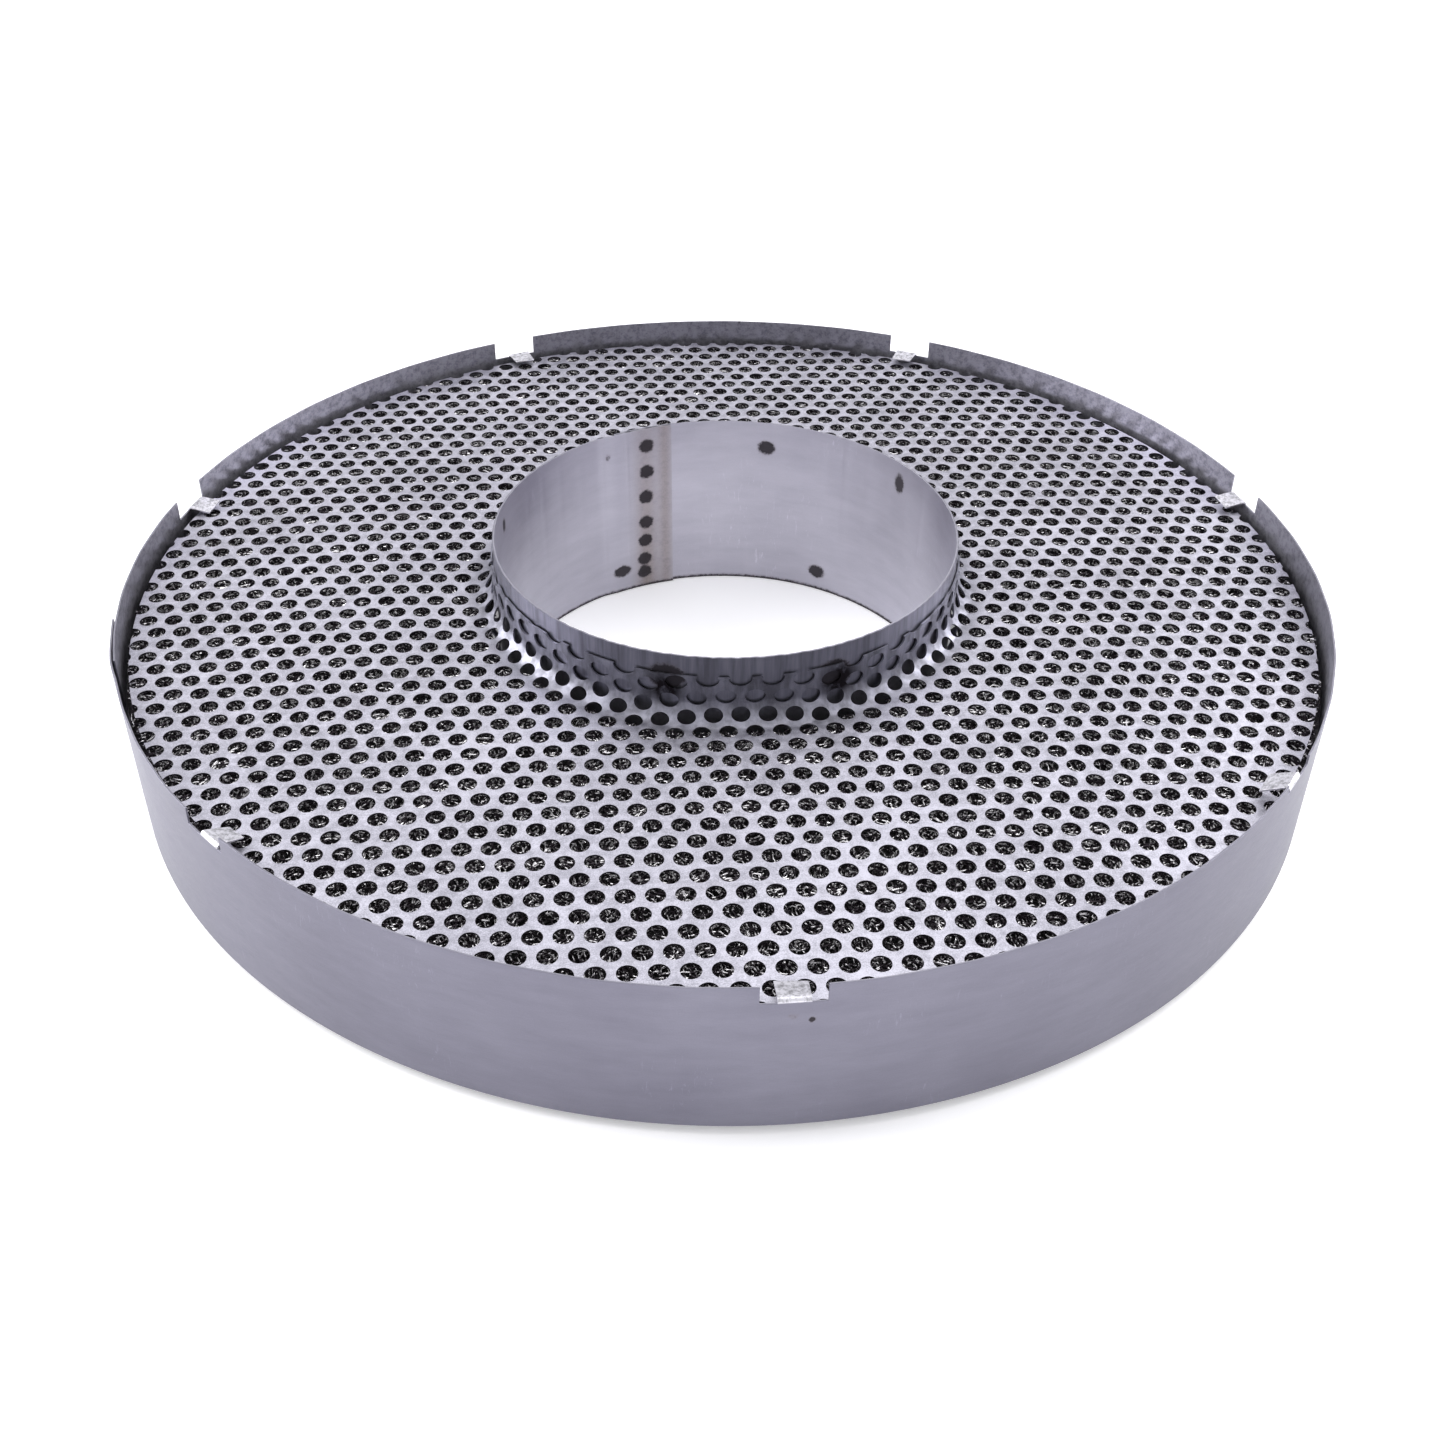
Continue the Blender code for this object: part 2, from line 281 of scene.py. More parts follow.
def smooth_noise(angle, height, seed, waves, amplitude):
    """Gentle, repeatable ripple over a rolled strip. The result lies between 0 and amplitude."""
    source = np.random.default_rng(seed)
    total = np.zeros_like(angle)
    for _ in range(waves):
        around = np.radians(angle) * source.integers(2, 9)
        phase = source.uniform(0, 6.28)
        total += np.sin(around + phase + height * source.uniform(-40, 40))
    return amplitude * (0.5 + 0.5 * total / waves)


def thick_strip(mid, normal, quads, thickness):
    """Closed sheet round a mid-surface: both faces and the walls along every open edge."""
    points = np.concatenate((mid + normal * thickness / 2, mid - normal * thickness / 2))
    count = len(mid)
    rim = open_edges(quads)
    walls = np.column_stack((rim[:, 1], rim[:, 0], rim[:, 0] + count, rim[:, 1] + count))
    return points, np.concatenate((quads, quads[:, ::-1] + count, walls))


def outward(angle):
    """Level unit vectors that point away from the axis at the given angles."""
    turn = np.radians(angle)
    return np.column_stack((np.cos(turn), np.sin(turn), np.zeros(len(turn))))


def lapped_radius(angle, start, lap, joggle, radius, step):
    """Radius of a rolled strip whose first stretch is stepped off to lap over its own end."""
    past = np.clip((angle - start - lap) / joggle, 0, 1)
    past = past * past * (3 - 2 * past)
    return radius + step * (1 - past)


def set_vectors(piece, name, values):
    """Stores a vector at each point of the piece, for its material to read."""
    attribute = piece.data.attributes.new(name, "FLOAT_VECTOR", "POINT")
    attribute.data.foreach_set("vector", np.asarray(values, np.float32).ravel())


def heat_at(angle, height, radius, marks, lobe=0.3):
    """Darkening from 0 to 1 around the marks: (angle, height, half width, half height, strength)."""
    heat = np.zeros_like(angle)
    for mark_angle, mark_height, wide, high, strength in marks:
        across = np.radians((angle - mark_angle + 180) % 360 - 180) * radius / wide
        along = (height - mark_height) / high
        far = np.sqrt(across**2 + along**2)
        edge = 1 + lobe * np.cos(np.arctan2(along, across) - mark_angle)
        heat = np.maximum(heat, strength * np.clip((1.4 - far / edge) / 0.8, 0, 1))
    return heat


# Tube: mesh steps in degrees, mesh rows, and the small wear on its sheet.
TUBE_FINE_STEP, TUBE_COARSE_STEP = 0.4, 0.8
TUBE_ROWS = 78
TUBE_RIM_RAG, TUBE_RIM_ROOM = 0.00012, 0.00013
TUBE_DENTS = 0.00020
CREASE_STEP, CREASE_DEPTH = 7.4, 0.00007
DIMPLE_RADIUS, DIMPLE_DEPTH = 0.0019, 0.00016

# Band: mesh rows below and above the notch floors, columns of a tab, its wear, and the share of painted
# light on its inner face.
ROWS_BELOW, ROWS_ABOVE = 78, 8
TAB_COLUMNS, TAB_BEND_STEPS, TAB_STEPS = 5, 6, 5
USUAL_FLOOR = 0.0020
BAND_DENTS, BAND_RIM_DENTS = 0.00030, 0.00012
BAND_EDGE_WEAR = 0.00008
BAND_INNER_PAINTED_LIGHT = 0.34
SAME_ANGLE = 1e-9

# Shift of a strip's inner face in its vectors called rolled, so that its grain differs.
INNER_FACE = (0, 0, 0.01)


def tube_columns():
    """Angles of the tube's mesh columns: close together over the seam, wider elsewhere."""
    end = TUBE_SEAM_START + 360 + TUBE_SEAM_LAP
    seam_end = TUBE_SEAM_START + TUBE_SEAM_LAP + TUBE_SEAM_JOGGLE + 3
    fine = np.arange(TUBE_SEAM_START, seam_end, TUBE_FINE_STEP)
    coarse = np.arange(fine[-1] + TUBE_COARSE_STEP, end - TUBE_SEAM_LAP, TUBE_COARSE_STEP)
    under_lap = np.linspace(coarse[-1] + 0.6, end, 18)
    return np.concatenate((fine, coarse, under_lap))


def tube_radius(angle, height, on_lap):
    """The tube's mid-surface: lapped, creased by rolling, dented, and dimpled by its seam welds."""
    seam = (TUBE_SEAM_START, TUBE_SEAM_LAP, TUBE_SEAM_JOGGLE)
    radius = lapped_radius(angle, *seam, TUBE_MIDDLE, -SHEET - TOUCH)
    crease = np.abs(np.mod(angle / CREASE_STEP, 1) - 0.5) * 2
    radius -= CREASE_DEPTH * np.clip(1 - crease * 6, 0, 1)
    radius -= smooth_noise(angle, height, 5, 5, TUBE_DENTS)
    for column, level in TUBE_SEAM_SPOTS:
        across = np.radians(angle - column) * TUBE_MIDDLE
        spot = np.hypot(across, height - TOP_FACE - level)
        dimple = DIMPLE_DEPTH * np.clip(1 - (spot / DIMPLE_RADIUS) ** 4, 0, 1)
        radius += np.where(on_lap, dimple, 0)
    return radius


def mark_tube(tube, angle, height, on_lap):
    """Heat stains on both faces, sooting and painted shade outside above the plate, a painted shade line
    inside along the lower rim, and brown tint inside by the seam.
    """
    stains = [(degrees, TOP_FACE + level, *rest) for degrees, level, *rest in TUBE_STAINS]
    seam_stains = [(degrees, TOP_FACE + level, *SEAM_SPOT) for degrees, level in TUBE_SEAM_SPOTS]
    both_laps = on_lap | (angle > TUBE_SEAM_START + 358.5)
    seam_heat = heat_at(angle, height, TUBE_MIDDLE, seam_stains, 0.05)
    heat = heat_at(angle, height, TUBE_MIDDLE, stains)
    heat = np.maximum(heat, np.where(both_laps, seam_heat, 0))
    # Painted shade: a dark line along the lower rim of the inner face, carried with the heat stains.
    heat_and_rim_shade = np.maximum(heat, 0.85 * np.exp(-((height / 0.0009) ** 2)))
    seam_edge = (angle - TUBE_SEAM_START) * TUBE_MIDDLE * math.pi / 180
    tint = 0.70 * np.exp(-(((seam_edge - 0.0022) / 0.0024) ** 2))
    tint += (0.95 - 8.0 * height) * np.exp(-(((seam_edge - 0.0090) / 0.0042) ** 2))
    tint = np.where(on_lap, np.clip(tint, 0, 1), 0)
    # Sooting and painted shade: the outside is darker from just under the plate's face upwards, where it
    # stands behind the collar.
    soot_and_shade = np.clip((height - TOP_FACE + 0.002) / 0.004, 0, 1)
    none = np.zeros(len(angle))
    flat = np.column_stack((np.radians(angle) * TUBE_MIDDLE, height, none))
    set_vectors(tube, "rolled", np.concatenate((flat, flat + INNER_FACE)))
    faces = np.column_stack((heat, soot_and_shade, none)), np.column_stack((heat_and_rim_shade, none, tint))
    set_vectors(tube, "marks", np.concatenate(faces))


def make_tube():
    """Rolled tube, its lap stepped inwards, with the marks of its spot welds."""
    columns, rows = tube_columns(), np.linspace(0, 1, TUBE_ROWS)
    angle, share = (values.ravel() for values in np.meshgrid(columns, rows, indexing="ij"))
    on_lap = angle < TUBE_SEAM_START + TUBE_SEAM_LAP + TUBE_SEAM_JOGGLE
    ragged = TUBE_RIM_RAG * np.sin(angle * 1.7) * np.sin(angle * 0.61 + 1.0)
    height = TUBE_LOW.z + share * (TUBE_HIGH.z - TUBE_LOW.z - TUBE_RIM_ROOM)
    height = np.clip(height + np.where(share > 0.98, ragged, 0), TUBE_LOW.z, TUBE_HIGH.z)
    mid = on_strip(tube_radius(angle, height, on_lap), np.radians(angle), height)
    grid = np.arange(len(mid)).reshape(len(columns), len(rows))
    corners = (grid[:-1, :-1], grid[1:, :-1], grid[1:, 1:], grid[:-1, 1:])
    quads = np.stack(corners, axis=-1).reshape(-1, 4)
    points, faces = thick_strip(mid, outward(angle), quads, SHEET)
    tube = new_piece("inner_tube_rolled", points, faces, TUBE_STEEL, "inner_tube")
    mark_tube(tube, angle, height, on_lap)


def past_band_seam(degrees):
    """The same angle, counted on from the band's seam."""
    return degrees if degrees > BAND_SEAM_START else degrees + 360


def band_cuts():
    """Each notch as (low, high, floor) and its tab as (low, high, twist, narrowing)."""
    half_notch = math.degrees(NOTCH_WIDTH / 2 / BAND_MIDDLE)
    half_tab = math.degrees(TAB_WIDTH / 2 / BAND_MIDDLE)
    notches, tabs = [], []
    for degrees, floor, shift, twist, narrowing in NOTCHES:
        centre = past_band_seam(degrees)
        tab = centre + math.degrees(shift / BAND_MIDDLE)
        notches.append((centre - half_notch, centre + half_notch, TOP_FACE + floor))
        tabs.append((tab - half_tab, tab + half_tab, twist, narrowing))
    return notches, tabs


def band_columns(notches, tabs):
    """Angles of the band's mesh columns: on every edge, and close together round its stains."""
    start, lap, joggle = BAND_SEAM_START, BAND_SEAM_LAP, BAND_SEAM_JOGGLE
    columns = [start, start + lap, start + lap + joggle, start + 360, start + 360 + lap]
    columns += [angle for low, high, _ in notches for angle in (low, high)]
    for low, high, *_ in tabs:
        columns += list(np.linspace(low, high, TAB_COLUMNS))
    even = np.arange(start, start + 360 + lap, 1.0)
    columns += [angle for angle in even if all(abs(angle - other) > 0.35 for other in columns)]
    for degrees, *_ in BAND_STAINS:
        stain = past_band_seam(degrees)
        for angle in np.arange(stain - 1.6, stain + 1.7, 0.2):
            if all(abs(angle - other) > 0.09 for other in columns):
                columns.append(angle)
    return np.array(sorted(columns))


def band_heights(columns, notches):
    """Heights of the mesh rows at each column, with one row on the notch floor."""
    heights = np.empty((len(columns), ROWS_BELOW + ROWS_ABOVE + 1))
    for index, angle in enumerate(columns):
        floor = TOP_FACE + USUAL_FLOOR
        for low, high, notch_floor in notches:
            if low - SAME_ANGLE <= angle <= high + SAME_ANGLE:
                floor = notch_floor
        heights[index, : ROWS_BELOW + 1] = np.linspace(BAND_LOW.z, floor, ROWS_BELOW + 1)
        heights[index, ROWS_BELOW:] = np.linspace(floor, BAND_HIGH.z, ROWS_ABOVE + 1)
    return heights


def band_quads(columns, notches, grid):
    """Quads of the band's wall, which stops at the floor inside each notch."""
    quads = []
    for index in range(len(columns) - 1):
        centre = (columns[index] + columns[index + 1]) / 2
        cut = any(low < centre < high for low, high, _ in notches)
        left, right = grid[index], grid[index + 1]
        for row in range(ROWS_BELOW if cut else ROWS_BELOW + ROWS_ABOVE):
            quads.append((left[row], right[row], right[row + 1], left[row + 1]))
    return quads


def tab_path(floor):
    """A tab's side view from its root as (reach inwards, rise, turn), first round its bend."""
    path = []
    for step in range(1, TAB_BEND_STEPS + 1):
        bend = math.radians(90 / TAB_BEND_STEPS * step)
        path.append((TAB_BEND * (1 - math.cos(bend)), TAB_BEND * math.sin(bend), bend))
    drop = TOP_FACE + TAB_TIP - floor
    reach, rise, _ = path[-1]
    slope = math.atan2(drop - rise, TAB_REACH - reach)
    for step in range(1, TAB_STEPS + 1):
        share = step / TAB_STEPS
        along = reach + share * (TAB_REACH - reach)
        path.append((along, rise + share * (drop - rise), math.pi / 2 - slope))
    return path


def add_tab(strip, quads, roots, tab, floor):
    """Adds one tab's points to the strip and its faces to the quads, from its roots on the floor."""
    *_, twist, narrowing = tab
    mid = strip["mid"]
    centre = (mid[roots[0]] + mid[roots[-1]]) / 2
    inward = -np.array((centre[0], centre[1], 0.0))
    inward /= np.linalg.norm(inward)
    before = roots
    for reach, rise, bend in tab_path(floor):
        share = min(reach / TAB_REACH, 1)
        after = []
        for column, root in enumerate(roots):
            side = 2 * column / (len(roots) - 1) - 1
            along = mid[root] + (centre - mid[root]) * (narrowing / TAB_WIDTH * share)
            after.append(len(mid))
            mid.append(along + inward * reach + np.array((0, 0, rise + twist * side * share)))
            strip["normal"].append(-inward * math.cos(bend) + np.array((0, 0, math.sin(bend))))
            strip["angle"].append(strip["angle"][root])
            strip["height"].append(BAND_HIGH.z + reach)
            # Tabs take the lighter colour in full: wear and painted light on their upward faces.
            strip["bright"].append(1.0)
        for column in range(len(roots) - 1):
            quads.append((before[column], before[column + 1], after[column + 1], after[column]))
        before = after


def mark_band(band, strip, used):
    """Stains, tabs in a lighter colour of wear and painted light, and an inner face painted lighter, at the
    points that the band kept.
    """
    angle, height, bright = (strip[key] for key in ("angle", "height", "bright"))
    stains = [(degrees, TOP_FACE + level, *rest) for degrees, level, *rest in BAND_STAINS]
    heat = heat_at(angle, height, BAND_MIDDLE, stains)
    none = np.zeros(len(angle))
    flat = np.column_stack((np.radians(angle) * BAND_MIDDLE, height, none))
    set_vectors(band, "rolled", np.concatenate((flat, flat + INNER_FACE))[used])
    outer_marks = np.column_stack((heat, none, bright))
    # The inner face is made lighter by painted light.
    inner_marks = np.column_stack((heat, none, np.maximum(bright, BAND_INNER_PAINTED_LIGHT)))
    set_vectors(band, "marks", np.concatenate((outer_marks, inner_marks))[used])


def make_band():
    """Rolled band with its lap outside, notched along its upper edge, one bent tab in each notch."""
    notches, tabs = band_cuts()
    columns = band_columns(notches, tabs)
    heights = band_heights(columns, notches)
    angle, height = np.repeat(columns, heights.shape[1]), heights.ravel()
    near_rim = np.clip((height - BAND_HIGH.z + 0.006) / 0.006, 0, 1)
    dents = smooth_noise(angle, height, 9, 6, BAND_DENTS)
    dents += BAND_RIM_DENTS * near_rim * (0.5 + 0.5 * np.sin(angle * 0.9))
    seam = (BAND_SEAM_START, BAND_SEAM_LAP, BAND_SEAM_JOGGLE)
    radius = lapped_radius(angle, *seam, BAND_MIDDLE, SHEET + TOUCH) - dents
    mid = on_strip(radius, np.radians(angle), height)
    grid = np.arange(len(mid)).reshape(heights.shape)
    quads = band_quads(columns, notches, grid)
    strip = {"mid": mid, "normal": outward(angle), "angle": angle, "height": height}
    strip = {key: list(values) for key, values in strip.items()}
    strip["bright"] = [0.0] * len(mid)
    for tab, (_, _, floor) in zip(tabs, notches):
        under_tab = (columns >= tab[0] - SAME_ANGLE) & (columns <= tab[1] + SAME_ANGLE)
        add_tab(strip, quads, [int(root) for root in grid[under_tab, ROWS_BELOW]], tab, floor)
    strip = {key: np.array(values) for key, values in strip.items()}
    strip["normal"] /= np.linalg.norm(strip["normal"], axis=1)[:, None]
    points, faces = thick_strip(strip["mid"], strip["normal"], np.array(quads), SHEET)
    used, index = np.unique(faces, return_inverse=True)
    faces = index.reshape(faces.shape)
    band = new_piece("outer_band_rolled", points[used], faces, BAND_STEEL, "outer_band")
    mark_band(band, strip, used)
    bevel = band.modifiers.new("Edges", "BEVEL")
    bevel.width = BAND_EDGE_WEAR
    bevel.segments = 2
    bevel.limit_method = "ANGLE"
    bevel.angle_limit = math.radians(60)
    bevel.harden_normals = True


# Weld marks. Levels are measured from the top plate's upper face. A seam spot is an angle and a
# level, and a stain an angle, a level, its half width, its half height and its strength.
SEAM_SPOT = (0.0023, 0.0022, 1.0)
TUBE_SEAM_SPOTS = (
    (108.9, 0.0125), (109.0, 0.0033), (109.4, -0.0058), (109.5, -0.0152),
    (109.9, -0.0220), (110.2, -0.0290), (110.3, -0.0340),
)
# Where two of the tube's stains reach over the collar: angle, level and radius.
COLLAR_BURNS = ((252.9, 0.0085, 0.0062), (292.5, 0.0082, 0.0074))
TUBE_STAINS = (
    (31.3, 0.0118, 0.0019, 0.0030, 0.9), (74.3, 0.0106, 0.0025, 0.0022, 1.0),
    (120.5, 0.0112, 0.0010, 0.0012, 0.40), (167.1, 0.0124, 0.0013, 0.0022, 0.8),
    (210.0, 0.0108, 0.0022, 0.0020, 0.8), (252.9, 0.0105, 0.0042, 0.0034, 1.3),
    (292.5, 0.0098, 0.0048, 0.0040, 1.3), (340.0, 0.0110, 0.0020, 0.0018, 0.8),
    (58.9, -0.0333, 0.0026, 0.0021, 1.0), (117.5, -0.0313, 0.0029, 0.0019, 1.0),
    (178.0, -0.0325, 0.0016, 0.0015, 0.8), (238.0, -0.0320, 0.0016, 0.0015, 0.8),
    (298.0, -0.0330, 0.0016, 0.0015, 0.8), (358.0, -0.0320, 0.0016, 0.0015, 0.8),
)
BAND_STAINS = (
    (272.5, -0.0031, 0.0007, 0.0007, 1.0), (271.0, -0.0018, 0.0013, 0.0009, 0.34),
    (84.5, 0.0070, 0.0006, 0.0012, 0.5),
)


# ---------------------------------------------------------------- knitted wire

WIRE_RADIUS = 0.00023
WIRE_SIDES = 3
WALE, COURSE = 0.0040, 0.0031
STEPS_PER_LOOP = 10
LOOP_SWING, LOOP_REACH = 0.28, 0.95
LOOP_DEPTH, WARP_DEPTH = 0.00028, 0.00030
WARP_WAVES, WARP_REACH = 14, 0.0022
WARP_LONGEST, WARP_SHORTEST = 0.045, 0.011
SHORTEST_RUN = 4
PIECES_PER_FABRIC = 2


def warp_field(seed):
    """A smooth displacement, as a sum of waves with seeded lengths, directions and phases."""
    source = np.random.default_rng(seed)
    waves = []
    for _ in range(WARP_WAVES):
        length = source.uniform(WARP_SHORTEST, WARP_LONGEST)
        way = source.uniform(0, 2 * math.pi)
        wave = 2 * math.pi / length * math.cos(way), 2 * math.pi / length * math.sin(way)
        waves.append((*wave, source.uniform(0, 6.28), source.uniform(0, 6.28)))

    def warp(x, y):
        dx, dy, dz = np.zeros_like(x), np.zeros_like(x), np.zeros_like(x)
        for kx, ky, first, second in waves:
            dx += np.sin(kx * x + ky * y + first)
            dy += np.sin(kx * x + ky * y + second)
            dz += np.cos(kx * x + ky * y + first - second)
        factor = WARP_REACH / math.sqrt(WARP_WAVES)
        return dx * factor, dy * factor, dz / math.sqrt(WARP_WAVES)

    return warp


def knitted_runs(heading, seed):
    """Centre lines of one knitted fabric, clipped to the ring. Returns points and the run of each."""
    half = FABRIC_OUTER + 2 * COURSE
    rows = np.arange(-half, half, COURSE)
    t = np.arange(0, 2 * half / WALE, 1 / STEPS_PER_LOOP)
    source = np.random.default_rng(seed)
    warp = warp_field(seed + 1)
    lines, runs, run = [], [], 0
    turn = math.radians(heading)
    for row in rows:
        stagger, lean = source.uniform(-0.18, 0.18), source.uniform(0.85, 1.15)
        phase = 2 * math.pi * t
        x = -half + WALE * (t + stagger + LOOP_SWING * lean * np.sin(2 * phase))
        y = row + LOOP_REACH * COURSE * lean * np.cos(phase)
        z = LOOP_DEPTH * np.cos(2 * phase)
        px, py = x * math.cos(turn) - y * math.sin(turn), x * math.sin(turn) + y * math.cos(turn)
        dx, dy, dz = warp(px, py)
        px, py, z = px + dx, py + dy, z + WARP_DEPTH * dz
        reach = np.hypot(px, py)
        inside = (reach > FABRIC_INNER) & (reach < FABRIC_OUTER)
        change = np.flatnonzero(np.diff(inside.astype(int)) != 0) + 1
        for part in np.split(np.arange(len(t)), change):
            if len(part) >= SHORTEST_RUN and inside[part[0]]:
                lines.append(np.column_stack((px[part], py[part], z[part])))
                runs.append(np.full(len(part), run))
                run += 1
    return np.concatenate(lines), np.concatenate(runs)


def wire_mesh(line, runs):
    """Wire along each run of points: rings of corners, joined, with closed ends."""
    same = np.concatenate((runs[1:] == runs[:-1], [False]))
    tangent = np.zeros_like(line)
    step = line[1:] - line[:-1]
    tangent[:-1][same[:-1]] += step[same[:-1]]
    tangent[1:][same[:-1]] += step[same[:-1]]
    tangent /= np.linalg.norm(tangent, axis=1)[:, None]
    across = np.cross(tangent, (0, 0, 1.0))
    across /= np.linalg.norm(across, axis=1)[:, None]
    upward = np.cross(across, tangent)
    corners = []
    for side in range(WIRE_SIDES):
        turn = 2 * math.pi * side / WIRE_SIDES + math.pi / 2
        corners.append(line + WIRE_RADIUS * (math.cos(turn) * across + math.sin(turn) * upward))
    points = np.stack(corners, axis=1).reshape(-1, 3)
    first = np.flatnonzero(same) * WIRE_SIDES
    faces = []
    for side in range(WIRE_SIDES):
        near, far = first + side, first + (side + 1) % WIRE_SIDES
        faces.append(np.column_stack((near, near + WIRE_SIDES, far + WIRE_SIDES)))
        faces.append(np.column_stack((near, far + WIRE_SIDES, far)))
    starts = np.flatnonzero(np.concatenate(([True], runs[1:] != runs[:-1]))) * WIRE_SIDES
    ends = np.flatnonzero(~same) * WIRE_SIDES
    faces.append(np.column_stack((starts, starts + 1, starts + 2)))
    faces.append(np.column_stack((ends + 2, ends + 1, ends)))
    return points, np.concatenate(faces)


def make_fabric(name, height, heading, seed, node, sagging):
    """One knitted fabric, split into pieces that each stay small enough."""
    line, runs = knitted_runs(heading, seed)
    line = line + (0, 0, height)
    if sagging:
        line[:, 2] += sag(line[:, 0], line[:, 1])
    count = runs.max() + 1
    for part in range(PIECES_PER_FABRIC):
        low, high = count * part // PIECES_PER_FABRIC, count * (part + 1) // PIECES_PER_FABRIC
        chosen = (runs >= low) & (runs < high)
        points, faces = wire_mesh(line[chosen], runs[chosen])
        new_piece(f"{name}_{part + 1}", points, faces, MESH_WIRE, node, smooth_angle=0)


# ---------------------------------------------------------------- materials

class Nodes:
    """Short way to write a material's nodes."""

    def __init__(self, name):
        self.material = bpy.data.materials.new(name)
        self.material.use_nodes = True
        self.tree = self.material.node_tree
        self.shader = self.tree.nodes["Principled BSDF"]

    def add(self, kind, links=None, values=None, **settings):
        node = self.tree.nodes.new(kind)
        for key, value in settings.items():
            setattr(node, key, value)
        for key, value in (values or {}).items():
            node.inputs[key].default_value = value
        for key, value in (links or {}).items():
            self.tree.links.new(value, node.inputs[key])
        return node

    def noise(self, vector, scale, detail=3.0, roughness=0.55, distortion=0.0):
        values = {"Scale": scale, "Detail": detail, "Roughness": roughness, "Distortion": distortion}
        return self.add("ShaderNodeTexNoise", {"Vector": vector}, values).outputs["Fac"]

    def stretched(self, vector, scale):
        node = self.add("ShaderNodeVectorMath", {0: vector}, {1: scale}, operation="MULTIPLY")
        return node.outputs["Vector"]

    def ramp(self, value, low, high, out_low=0.0, out_high=1.0):
        values = {"From Min": low, "From Max": high, "To Min": out_low, "To Max": out_high}
        return self.add("ShaderNodeMapRange", {"Value": value}, values).outputs["Result"]

    def math(self, operation, first, second):
        node = self.tree.nodes.new("ShaderNodeMath")
        node.operation = operation
        for index, value in enumerate((first, second)):
            if isinstance(value, (int, float)):
                node.inputs[index].default_value = value
            else:
                self.tree.links.new(value, node.inputs[index])
        return node.outputs["Value"]

    def weighted(self, *parts):
        """Sum of values, each given with its weight."""
        total, *others = (self.math("MULTIPLY", value, weight) for value, weight in parts)
        for value in others:
            total = self.math("ADD", total, value)
        return total

    def mix(self, factor, first, second):
        node = self.add("ShaderNodeMix", {"Factor": factor}, data_type="RGBA")
        for socket, value in ((node.inputs[6], first), (node.inputs[7], second)):
            if isinstance(value, tuple):
                socket.default_value = (*value, 1.0)
            else:
                self.tree.links.new(value, socket)
        return node.outputs[2]

    def attribute(self, name, output):
        node = self.tree.nodes.new("ShaderNodeAttribute")
        node.attribute_name = name
        return node.outputs[output]

    def bump(self, height, distance, strength=1.0, normal=None):
        links = {"Height": height}
        if normal:
            links["Normal"] = normal
        node = self.add("ShaderNodeBump", links, {"Distance": distance, "Strength": strength})
        return node.outputs["Normal"]

    def finish(self, colour, roughness, normal, metallic=1.0):
        self.tree.links.new(colour, self.shader.inputs["Base Color"])
        self.tree.links.new(roughness, self.shader.inputs["Roughness"])
        self.tree.links.new(normal, self.shader.inputs["Normal"])
        self.shader.inputs["Metallic"].default_value = metallic
        return self.material


def shade(colour, factor):
    """The colour made darker or lighter, held at or under 1."""
    return tuple(min(1.0, factor * part) for part in colour)


